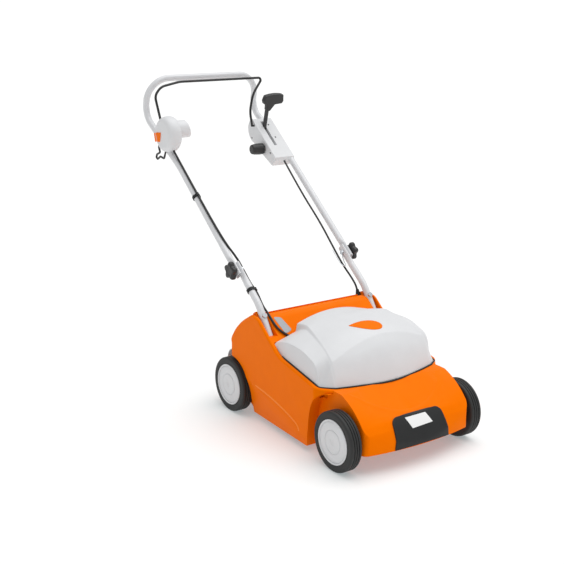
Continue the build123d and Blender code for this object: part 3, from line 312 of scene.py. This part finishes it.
def laid_plate(name, ground, corners, facing, rounding, thick, material, body="chassis"):
    """A thin plate between four corners, dropped onto the mesh that carries it, in millimetres.
    The corners go round the plate from one end of its first edge, which has the first rounding."""
    below = tree_of(ground)
    facing = Vector(facing).normalized()
    first, second, third, fourth = [Vector(corner) for corner in corners]
    length, height = (second - first).length, (fourth - first).length
    near, far = rounding
    bend = [1 - cos(radians(15 * step)) for step in range(7)]
    rows = [near * share for share in bend]
    rows += [near + (height - near - far) * step / 12 for step in range(1, 12)]
    rows += [height - far * share for share in reversed(bend)]
    columns = 32
    points = []
    for row in rows:
        radius, depth = (near, row) if row < height / 2 else (far, height - row)
        depth = min(depth, radius)
        inset = radius - sqrt(max(radius ** 2 - (radius - depth) ** 2, 0))
        for column in range(columns + 1):
            share = (inset + (length - 2 * inset) * column / columns) / length
            place = first.lerp(second, share).lerp(fourth.lerp(third, share), row / height) / 1000
            landing = below.ray_cast(place + facing * 0.04, -facing, 0.1)[0]
            points.append(landing or below.find_nearest(place)[0])
    faces = grid_faces(len(rows), columns + 1)
    plate = new_piece(name, points, faces, material, body)
    sheet = plate.modifiers.new("thickness", "SOLIDIFY")
    sheet.thickness = thick / 1000
    sheet.offset = 1 if plate.data.polygons[len(faces) // 2].normal.dot(facing) > 0 else -1
    soft = plate.modifiers.new("edge", "BEVEL")
    soft.width = thick / 4000
    soft.segments = 2
    soft.limit_method = "ANGLE"
    soft.angle_limit = radians(50)
    return plate


foil = metal("lacquered_aluminium_foil", "#9EA0A3", "#909396", rough=0.55, cloud=6, brush=(1, 5, 1))
laid_plate("instruction_plate", deck_mesh,
           [(-200, -125, 387), (-186, -183, 339), (-154, -176, 345), (-172, -130, 383)],
           facing=(0, -0.64, 0.77), rounding=(9, 9), thick=0.6, material=foil)

# Apron crease: where the flat brow of the apron turns into its bumper, a soft step runs like a smile
# from one front arch to the other. It is part of the moulding and only a millimetre high.
smile_half = [(0, -640), (40, -636), (78, -627), (110, -614), (137, -600), (160, -586), (180, -570),
              (196, -552), (206, -534), (211, -516)]
smile_profile = [(-14, -0.4), (-7, 0.5), (-2, 1.1), (2, 1.1), (6, 0.3), (9, -0.4)]
sunk = 0.4
deck_tree = tree_of(deck_mesh)
smile = [(-x, y) for x, y in reversed(smile_half[1:])] + smile_half
points = []
for place, (x, y) in enumerate(smile):
    run = heading(smile, place)
    fade = eased(place / 3) * eased((len(smile) - 1 - place) / 3)
    for across, proud in smile_profile:
        spot = Vector((x - run.y * across, y + run.x * across, 500)) / 1000
        ground, normal = deck_tree.ray_cast(spot, Vector((0, 0, -1)))[:2]
        if ground is None:
            ground, normal = deck_tree.find_nearest(points[-1] if points else spot)[:2]
        points.append(ground + normal * (proud * fade - sunk * (1 - fade)) / 1000)
faces = grid_faces(len(smile), len(smile_profile), flip=True)
new_piece("apron_crease", points, faces, orange_abs, "chassis")

# Front panel: a black polypropylene bumper snapped into the apron down to its lower edge, coarser in
# grain than the deck so that it looks dry. A bare, slanted plate of white painted sheet is glued on.
black_pp = moulded("grained_black_polypropylene", "#272829", "#202121", rough=0.5, grain=2.2, depth=0.08,
                   ior=1.49, shine=0.3)
front_panel = laid_plate("front_bumper", deck_mesh,
                         [(-103, -650, 166), (101, -650, 166), (113, -694, 75), (-113, -694, 75)],
                         facing=(0, -1, 0.35), rounding=(22, 1), thick=3.2, material=black_pp)
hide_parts("front_panel")
white_paint = moulded("white_painted_sheet", "#F4F4F3", "#EEEEEE", rough=0.3, grain=3, depth=0.02, ior=1.5)
laid_plate("front_plate", nodes["front_panel"].data,
           [(-51, -653, 158), (35, -653, 158), (52, -669, 127), (-34, -671, 124)],
           facing=(0, -1, 0.35), rounding=(1, 1), thick=1.2, material=white_paint)

# Rear axle, front crank axle, spring clips and bolts: drawn steel with bright zinc plating, which has
# a faint blue cloudiness from the bath. The crank turns in two pale acetal bushes under the deck.
zinc = metal("bright_zinc_plated_steel", "#D2D5D8", "#B9BEC4", rough=0.3)
dress(zinc, "rear_axle", "rear_axle_clips", "front_axle_clips", "crank_axle", edge=0.3)
acetal = moulded("moulded_natural_acetal", "#E6E4DC", "#DCDAD0", rough=0.4, ior=1.48)
dress(acetal, "crank_bushes", edge=0.4)

# Wheels: a solid rubber tyre with a flat side and three grooves round its tread is stretched on a
# black polypropylene rim. A pale grey cap snaps into the outer face and hides the axle clip: a raised
# ring, a sunk disc and a low round boss in its middle.
wheel_places = {"front_right": (-1, -574), "front_left": (1, -574),
                "rear_right": (-1, 50), "rear_left": (1, 50)}
wheel_height = 100
groove_places = (246, 255, 264)
tread = [(233, 76), (233, 92), (234, 96), (236, 98.6), (239, 99.8)]
for groove in groove_places:
    tread += [(groove - 2, 100), (groove - 1.3, 99.2), (groove - 1, 96.5), (groove + 1, 96.5),
              (groove + 1.3, 99.2), (groove + 2, 100)]
tread += [(271, 100), (273.6, 99.4), (275.6, 97.8), (276.7, 95.4), (277, 92), (276.8, 86), (276, 80),
          (276, 76)]
cap_profile = [(273, 1), (273, 74.4), (277.2, 74.4), (278.4, 73.8), (279.2, 72.4), (279.3, 70.8),
               (278.9, 69.6), (277.5, 68.7), (274.6, 68.2), (274.6, 66.8), (276, 66.2), (276.5, 65),
               (276.6, 42), (276.4, 40.6), (275, 40), (275, 38.6), (276.8, 38), (277.4, 36.8), (277.5, 30),
               (277.3, 12), (277, 10.8), (276, 10), (276, 1)]
turn_steps = 96


def ring_faces(rings, steps, flip=False, wrap=False):
    """Four-sided faces between rings of points; a wrapped set joins its last ring to its first."""
    faces = []
    for ring in range(rings if wrap else rings - 1):
        here, there = ring * steps, (ring + 1) % rings * steps
        for step in range(steps):
            after = (step + 1) % steps
            face = (here + step, there + step, there + after, here + after)
            faces.append(face[::-1] if flip else face)
    return faces


def turned(name, wheel, profile, material, node):
    """A closed ring turned round a wheel's axle from (across, radius) places, in millimetres."""
    side, wheel_y = wheel_places[wheel]
    points = []
    for across, radius in profile:
        for step in range(turn_steps):
            angle = tau * step / turn_steps
            points.append((side * across / 1000, (wheel_y + radius * cos(angle)) / 1000,
                           (wheel_height + radius * sin(angle)) / 1000))
    faces = ring_faces(len(profile), turn_steps, flip=side < 0, wrap=True)
    piece = new_piece(name, points, faces, material, f"wheel_{wheel}")
    piece.data.set_sharp_from_angle(angle=radians(50))
    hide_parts(node)


rubber = moulded("moulded_tyre_rubber", "#2C2D2D", "#252626", rough=0.62, grain=2.5, depth=0.1, ior=1.52)
dress(black_pp, *[f"rim_{wheel}" for wheel in wheel_places], edge=0.6)
grey_abs = moulded("moulded_light_grey_abs", "#DDDEE0", "#D7D8DA", rough=0.42)
for wheel in wheel_places:
    turned(f"grooved_tyre_{wheel}", wheel, tread, rubber, f"tyre_{wheel}")
    turned(f"snap_cap_{wheel}", wheel, cap_profile, grey_abs, f"hub_cap_{wheel}")

# Scarifying drum: hardened spring steel blades threaded on a square-shouldered shaft between turned
# spacers, in two sealed bearings. The blades keep the grey scale and the streaks of rolled strip.
blade_steel = metal("rolled_spring_steel", "#8C9094", "#6E7276", rough=0.34, cloud=6, brush=(1, 6, 1))
dress(blade_steel, "blades", edge=0.2)
turned_steel = metal("turned_steel", "#B4B7BA", "#A2A6AA", rough=0.3, cloud=4, brush=(8, 1, 1))
dress(turned_steel, "drum_shaft", "blade_spacers", "drum_bearings", "motor_shaft", "flap_rod", edge=0.3)

# Drive: a toothed rubber belt from the motor's small pulley to the drum's large one. Both pulleys are
# pressed from sintered steel, which is dull and slightly porous.
sintered = metal("sintered_steel", "#7E8184", "#6C6F72", rough=0.45, cloud=2)
dress(sintered, "drum_pulley", "motor_pulley", edge=0.3)
belt_rubber = moulded("moulded_belt_rubber", "#262626", "#1F1F1F", rough=0.7, grain=1.5, depth=0.08)
dress(belt_rubber, "drive_belt", edge=0.2)

# Motor: a die-cast aluminium case on a pressed steel bracket, with a black nylon cooling fan on its
# shaft. All of it sits out of sight under the hood.
cast_aluminium = metal("die_cast_aluminium", "#B0B3B5", "#9EA2A5", rough=0.48, cloud=3)
dress(cast_aluminium, "motor_case", edge=0.8)
dress(zinc, "motor_bracket", edge=0.4)
nylon = moulded("moulded_black_nylon", "#303031", "#272728", rough=0.42)
dress(nylon, "cooling_fan", edge=0.3)

# Motor hood: light grey ABS, the same plastic as the wheel caps. A dome runs down its middle with a
# step on each side, and the sloping bands beside it end in a crisp edge above steep flanks. The top
# turns down to the front face in a soft cross crease.
hood_side = 246
hood_edge = 238
hood_rear = -203
face_top = -460
step_width = 9
far_rise = 20
corner_start_x = 205
corner_start_y = -494
near_chamfer = 39 / 41
far_chamfer = 28 / 41
rim_tuck = 3
skirt = 5
rim_heights = [(-545, 238), (-473, 239.8), (-465, 240.6), (-457, 241.7), (-274, 280.8), (-260, 284.6),
               (-245, 290.6), (-232, 298), (-222, 306), (-200, 324.3)]
edge_heights = [(-470, 236), (-455, 240), (-446, 252), (-437, 285), (-424, 306), (-390, 322), (-346, 335),
                (-302, 339), (-262, 338), (-225, 330), (-203, 324), (-190, 322)]
# From the front to the rear: place, then the step's place across, its foot and rise, and the top
face_lines = [(-545, 208, 165, 12, 220), (-515, 207, 222, 12, 296), (-488, 205, 265, 12, 346),
              (-460, 201, 309, 9, 380)]
crown_lines = [(-460, 201, 309, 9, 380), (-415, 193, 338, 6, 394), (-357, 182, 357, 7, 403),
               (-300, 171, 369, 10, 407), (-270, 166, 372, 13, 407), (-236, 162, 363, 19, 406),
               (-203, 160, 347, 28, 403)]


def hood_front(x):
    """Where the hood's outline ends in front, at a place across."""
    if abs(x) > corner_start_x:
        return corner_start_y + (abs(x) - corner_start_x) * (near_chamfer if x < 0 else far_chamfer)
    return bow_centre - sqrt(front_bow ** 2 - x ** 2)


def far_share(x):
    """How far a place across is on the left half, where the hood is fuller."""
    return eased((x + 60) / 260)


def rim_at(y):
    """Height of the deck's seat for the hood."""
    return along_table(rim_heights, y)[0]


def hood_crown(x, y):
    """Height of the hood before its front edge is drawn down to the deck."""
    step_at, foot, rise, top = along_table(face_lines if y < face_top else crown_lines, y)
    edge = max(along_table(edge_heights, y)[0], rim_at(y) - rim_tuck)
    far = far_rise * far_share(x) * eased((-245 - y) / 60) * eased((y + 515) / 60)
    x = abs(x)
    if x > hood_edge:
        share = (x - hood_edge) / (hood_side - hood_edge)
        return edge + far - share * (edge + far - rim_at(y) + skirt)
    if x > step_at:
        return edge + far + (foot - edge) * (hood_edge - x) / (hood_edge - step_at)
    if x > step_at - step_width:
        return foot + far + rise * eased((step_at - x) / step_width)
    brow = foot + rise
    full = 2 - 0.35 * eased((-380 - y) / 100)
    return brow + far + (top - far * 0.4 - brow) * (1 - (x / (step_at - step_width)) ** full)


def hood_height(x, y):
    """Height of the hood, which meets the deck all along its front edge."""
    front = hood_front(x)
    run = 46 - 14 * far_share(x)
    drawn = eased((front + run - y) / (2 * run)) * 2
    return hood_crown(x, y) - drawn * max(hood_crown(x, front) - rim_at(front) + rim_tuck, 0)


front_bow = 586.4
bow_centre = 55.4
half_columns = [246, 245.2, 243, 240.6, 239, 238.3, 237.6, 236.6, 234.5, 231, 227, 222, 217, 213, 210,
                208, 206]
half_columns += [204 - 2 * step for step in range(30)]
half_columns += [143 - 6 * step for step in range(24)]
columns = half_columns + [0] + [-x for x in reversed(half_columns)]
row_count = 110
points = []
for row in range(-1, row_count + 1):
    for x in columns:
        y = hood_rear + (hood_front(x) - hood_rear) * max(row, 0) / row_count
        z = rim_at(y) - skirt if row < 0 else hood_height(x, y)
        points.append((x / 1000, y / 1000, z / 1000))
faces = grid_faces(row_count + 2, len(columns))
motor_hood = new_piece("hood_shell", points, faces, grey_abs, "chassis")
motor_hood.data.set_sharp_from_angle(angle=radians(60))
shell = motor_hood.modifiers.new("thickness", "SOLIDIFY")
shell.thickness = 0.003
shell.offset = -1 if motor_hood.data.polygons[len(faces) // 2].normal.z > 0 else 1
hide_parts("motor_hood")

# Hood badge: a small bare drop in the deck's own orange plastic, snapped into the hood's crown and
# standing a millimetre proud of it.
badge_middle = (-12, -401)
badge_half = (57, 38)
badge_turn = radians(-27)
badge_rings = (0.05, 0.35, 0.65, 0.9, 1)
points = []
for ring in badge_rings:
    for step in range(turn_steps):
        angle = tau * step / turn_steps
        along = badge_half[0] * ring * cos(angle)
        across = badge_half[1] * ring * sin(angle) * sqrt((1 + cos(angle)) / 2 + 0.02)
        x = badge_middle[0] + along * cos(badge_turn) - across * sin(badge_turn)
        y = badge_middle[1] + along * sin(badge_turn) + across * cos(badge_turn)
        points.append((x / 1000, y / 1000, (hood_height(x, y) - 0.5) / 1000))
faces = [tuple(range(turn_steps))] + ring_faces(len(badge_rings), turn_steps)
badge = new_piece("drop_badge", points, faces, orange_abs, "chassis")
badge_body = badge.modifiers.new("thickness", "SOLIDIFY")
badge_body.thickness = 0.0016
badge_body.offset = 1
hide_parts("hood_badge")

# Hood seal: a black rubber bead laid in the gap between the hood and its seat in the deck. Only its
# round back shows, as a dark line under the hood.
seal_bead = 2.7
seal_front = [(x, hood_front(x) - 1, 1.5) for x in (-192, -160, -120, -80, -40, 0, 40, 80, 120, 160, 192)]
seal_corner = [(202, 1.2), (207, 1), (212, 0.6), (230, 0.4), (243, 0)]
seal_side = [(246, -452, 0.2), (247, -446, 0.8), (247, -420, 1), (247, -380, 1), (247, -340, 1),
             (247, -300, 0.8), (247, -270, 0), (247, -250, -1.5)]
near_end = [(-x, hood_front(-x) - 2, rise) for x, rise in seal_corner]
near_end += [(-x, y, rise) for x, y, rise in seal_side]
far_end = [(x, hood_front(x) - 2, rise) for x, rise in seal_corner] + seal_side
seal_rubber = moulded("extruded_black_rubber", "#1B1B1B", "#161616", rough=0.6, grain=2, depth=0.03, ior=1.52)
seal_line = []
for x, y, rise in near_end[::-1] + seal_front + far_end:
    hollow = 234 + x ** 2 / 2300 if y < -490 else 400
    seal_line.append((x, y, min(rim_at(y), hollow) + rise))
hood_seal = bent_rod("hood_seal", seal_line, seal_bead, seal_rubber)
bpy.context.scene.collection.objects.link(hood_seal)
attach(hood_seal, "chassis")

# Rear flap: a grey polypropylene guard that hangs from a steel rod behind the drum and stops thrown
# moss. It is thin and slightly waxy.
flap_pp = moulded("moulded_grey_polypropylene", "#DADCDE", "#D2D4D6", rough=0.5, ior=1.49)
dress(flap_pp, "rear_flap", edge=0.5)

# Handle tubes: 25 mm steel tube with a light grey powder coat, which leaves a fine orange peel. The
# lower tubes are bolted into the deck, and the upper bar folds on two through bolts.


def coated(name, colour, shade, rough, peel):
    """A baked powder coat: even colour under a clear skin with a soft orange peel."""
    material = new_material(name, {"IOR": 1.5, "Coat Weight": 0.25, "Coat Roughness": 0.2})
    skin = clouds(material, peel, detail=1)
    return textured(material, (shade, colour), skin, (rough - 0.05, rough + 0.05), skin,
                    strength=0.25, depth=0.04)


tube_coat = coated("light_grey_powder_coat", "#DDDEE0", "#D6D7DA", rough=0.34, peel=3)
dress(tube_coat, "lower_tube_right", "lower_tube_left", "handlebar", edge=0.4)
dress(zinc, "tube_bolts", "fold_bolts", edge=0.3)

# Star knobs: black nylon nuts with rounded lobes, moulded over a steel insert, that clamp the fold.
# The nylon is a little glossy on the lobes.
knob_lobes = 5
knob_rings = [(255.8, 12), (259, 12.5), (259.3, 22), (260, 25.6), (262, 28), (266, 29), (274, 28.6),
              (277.2, 27), (279, 24), (279.6, 18), (278.2, 14.5), (277.8, 8)]
lobe_depth = 4.6
lobe_turn = radians(20)
knob_steps = 90
fold = Vector((0, 37, 527))
for side_name, side in (("right", -1), ("left", 1)):
    points = []
    for across, radius in knob_rings:
        lobe = lobe_depth * eased((radius - 12) / 10)
        for step in range(knob_steps):
            angle = tau * step / knob_steps
            reach = radius + lobe * cos(knob_lobes * (angle - lobe_turn))
            points.append((side * across / 1000, (fold.y + reach * cos(angle)) / 1000,
                           (fold.z + reach * sin(angle)) / 1000))
    faces = ring_faces(len(knob_rings), knob_steps, flip=side > 0)
    first, last = tuple(range(knob_steps)), tuple(range(len(points) - knob_steps, len(points)))
    faces += [first[::-1], last] if side > 0 else [first, last[::-1]]
    knob = new_piece(f"lobed_knob_{side_name}", points, faces, nylon, f"star_{side_name}")
    knob.data.set_sharp_from_angle(angle=radians(60))
    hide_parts(f"star_knob_{side_name}")

# Switch box: two light grey ABS half shells screwed round the tube on the operator's right. It holds
# the start button and the shrouded mains inlet, and a black hook for the cord's loop hangs below.
dress(grey_abs, "switch_box", "mains_inlet", edge=1.2)
dress(orange_abs, "start_button", edge=0.5)
laid_plate("start_button_wing", nodes["switch_box"].data,
           [(-276, 552, 960), (-276, 513, 964), (-276, 520, 928), (-276, 542, 926)],
           facing=(-1, 0.25, 0), rounding=(4, 7), thick=2.4, material=orange_abs,
           body="button")


def thickened(name, node, extra, material, body):
    """A rod that replaces a CAD rod on the same line, thicker all round, in millimetres."""
    form = welded(node)
    bmesh.ops.recalc_face_normals(form, faces=form.faces)
    form.normal_update()
    for corner in form.verts:
        corner.co += corner.normal * extra / 1000
    mesh = bpy.data.meshes.new(name)
    form.to_mesh(mesh)
    form.free()
    mesh.materials.append(material)
    rod = bpy.data.objects.new(name, mesh)
    bpy.context.scene.collection.objects.link(rod)
    soften(rod, 0)
    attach(rod, body)
    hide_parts(node)


thickened("moulded_cord_hook", "cord_hook", 1.5, nylon, "handle")
pin_brass = metal("nickel_plated_brass", "#CFC4A4", "#BDB08C", rough=0.28, cloud=3)
dress(pin_brass, "inlet_pins", edge=0.2)

# Switch bail: a steel rod, bent cold and coated in smooth black, 9.6 mm thick over the coat and sprung
# in the two boxes. The coat is thin and even, with a narrow bright highlight along the rod.
rod_coat = coated("smooth_black_rod_coat", "#0C0C0D", "#08080A", rough=0.4, peel=3)
thickened("coated_bail", "switch_bail", 0.8, rod_coat, "bail")

# Lever box: a grey ABS housing on the left tube, closed with steel screws. The black depth lever with
# its T grip runs in a slot along it, and a fine-adjust knob sits at its lower end.
dress(grey_abs, "lever_box", edge=1.2)
black_oxide = metal("black_oxide_steel", "#3C3D3F", "#2E2F31", rough=0.4, cloud=3)
dress(black_oxide, "lever_box_screws", edge=0.2)
dress(nylon, "depth_lever", "lever_grip", "depth_knob", edge=0.8)

# Cables: the depth lever's Bowden cable and the motor's flexible lead, both in black PVC, which is
# smooth and a little glossy. Each is one line from the handle to the deck and bends at the fold.
handle_angle = radians(39.07)
handle_along = Vector((0, cos(handle_angle), sin(handle_angle)))
handle_square = Vector((0, -sin(handle_angle), cos(handle_angle)))


def on_handle(x, along, square):
    """A point given along the handle from its fold and square to it, in millimetres."""
    return fold + Vector((x, 0, 0)) + handle_along * along + handle_square * square


def sheathed(name, route, radius):
    """A cable as one smooth tube along its route."""
    mesh = bpy.data.meshes.new_from_object(bent_rod(f"{name}_line", route, radius, pvc, smooth=True))
    mesh.polygons.foreach_set("use_smooth", [True] * len(mesh.polygons))
    cable = bpy.data.objects.new(f"{name}_sheath", mesh)
    bpy.context.scene.collection.objects.link(cable)
    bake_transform(cable)
    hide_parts(name)


pvc = moulded("extruded_black_pvc", "#1F1F20", "#191919", rough=0.42, grain=3, depth=0.02, ior=1.53)
lever_cable_route = [
    on_handle(213, 500, 2), (213, 299, 727), (213, 165, 623), (213, 80, 541), (213, 17, 483),
    (213, -39, 445), (213, -70, 416), (213, -84, 360), (207, -118, 312), (203, -180, 256),
    (199, -262, 217), (199, -338, 213), (199, -386, 183), (199, -432, 181.1),
]
sheathed("bowden_cable", lever_cable_route, radius=3.7)
motor_lead_route = [
    on_handle(-250, 600, 16.5), on_handle(-250, 345, 16.5), on_handle(-248, 120, 19),
    on_handle(-221, 48, 3), on_handle(-213.5, 4, -8), on_handle(-216.5, -66, -5),
    on_handle(-216.7, -95, 2), on_handle(-216.5, -118, 2), (-213, -80, 418), (-213, -112, 400),
    (-214, -150, 373), (-207, -171, 355), (-192, -188, 341), (-174, -203, 329), (-148, -226, 311),
    (-112, -250, 289), (-72, -270, 271), (-45, -292, 261), (-40, -318, 258),
]
sheathed("power_cable", motor_lead_route, radius=4.1)
dress(black_pp, "cable_boot", "cable_clip_upper", "cable_clip_lower", edge=0.4)
dress(turned_steel, "bowden_wire", edge=0)

# Cable guide: a hook of 3 mm zinc-plated wire under the head of the left fold bolt, open at the top,
# that keeps the Bowden cable beside the tube.
guide_line = [on_handle(*place) for place in (
    (223, 0, -2), (222, -14, -9), (222, -30, -16), (221, -46, -15), (213, -57, -14), (204, -48, -15),
    (204, -28, -19), (204, 6, -19), (205, 30, -18))]
cable_guide = bent_rod("cable_guide", guide_line, 1.5, zinc, smooth=True)
bpy.context.scene.collection.objects.link(cable_guide)
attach(cable_guide, "chassis")

# Floor, light and camera: a white lit table under one broad overhead light and a bright room, seen
# from the front right corner of the machine at about a metre and a half.
floor_reach = 400
floor_mesh = bpy.data.meshes.new("floor")
floor_mesh.from_pydata([(-floor_reach, -floor_reach, 0), (floor_reach, -floor_reach, 0),
                        (floor_reach, floor_reach, 0), (-floor_reach, floor_reach, 0)], [], [(0, 1, 2, 3)])
floor = bpy.data.objects.new("floor", floor_mesh)
bpy.context.scene.collection.objects.link(floor)
studio_white = new_material("matt_white_studio_floor", {
    "Base Color": (0.71, 0.685, 0.675, 1), "Emission Color": (0.88, 0.98, 1, 1), "Emission Strength": 0.3,
    "Roughness": 0.9, "Specular IOR Level": 0.1})
floor_mesh.materials.append(studio_white)

world = bpy.data.worlds.new("studio")
bpy.context.scene.world = world
world.use_nodes = True
world.node_tree.nodes["Background"].inputs["Color"].default_value = (1, 1, 1, 1)
world.node_tree.nodes["Background"].inputs["Strength"].default_value = 0.56
light_from = Vector((0.27, -0.06, 0.96))
overhead = bpy.data.lights.new("overhead_soft_light", "SUN")
overhead.energy = 1.9
overhead.angle = radians(65)
lamp = bpy.data.objects.new("overhead_soft_light", overhead)
lamp.rotation_euler = (-light_from).to_track_quat("-Z", "Y").to_euler()
bpy.context.scene.collection.objects.link(lamp)

lens = bpy.data.cameras.new("camera")
lens.lens = 67.15
lens.sensor_width = 36
camera = bpy.data.objects.new("camera", lens)
camera.location = (-2.143, -3.020, 1.463)
camera.rotation_euler = (radians(90 - 15.25), 0, radians(-34.38))
bpy.context.scene.collection.objects.link(camera)
bpy.context.scene.camera = camera
bpy.context.scene.view_settings.view_transform = "Standard"
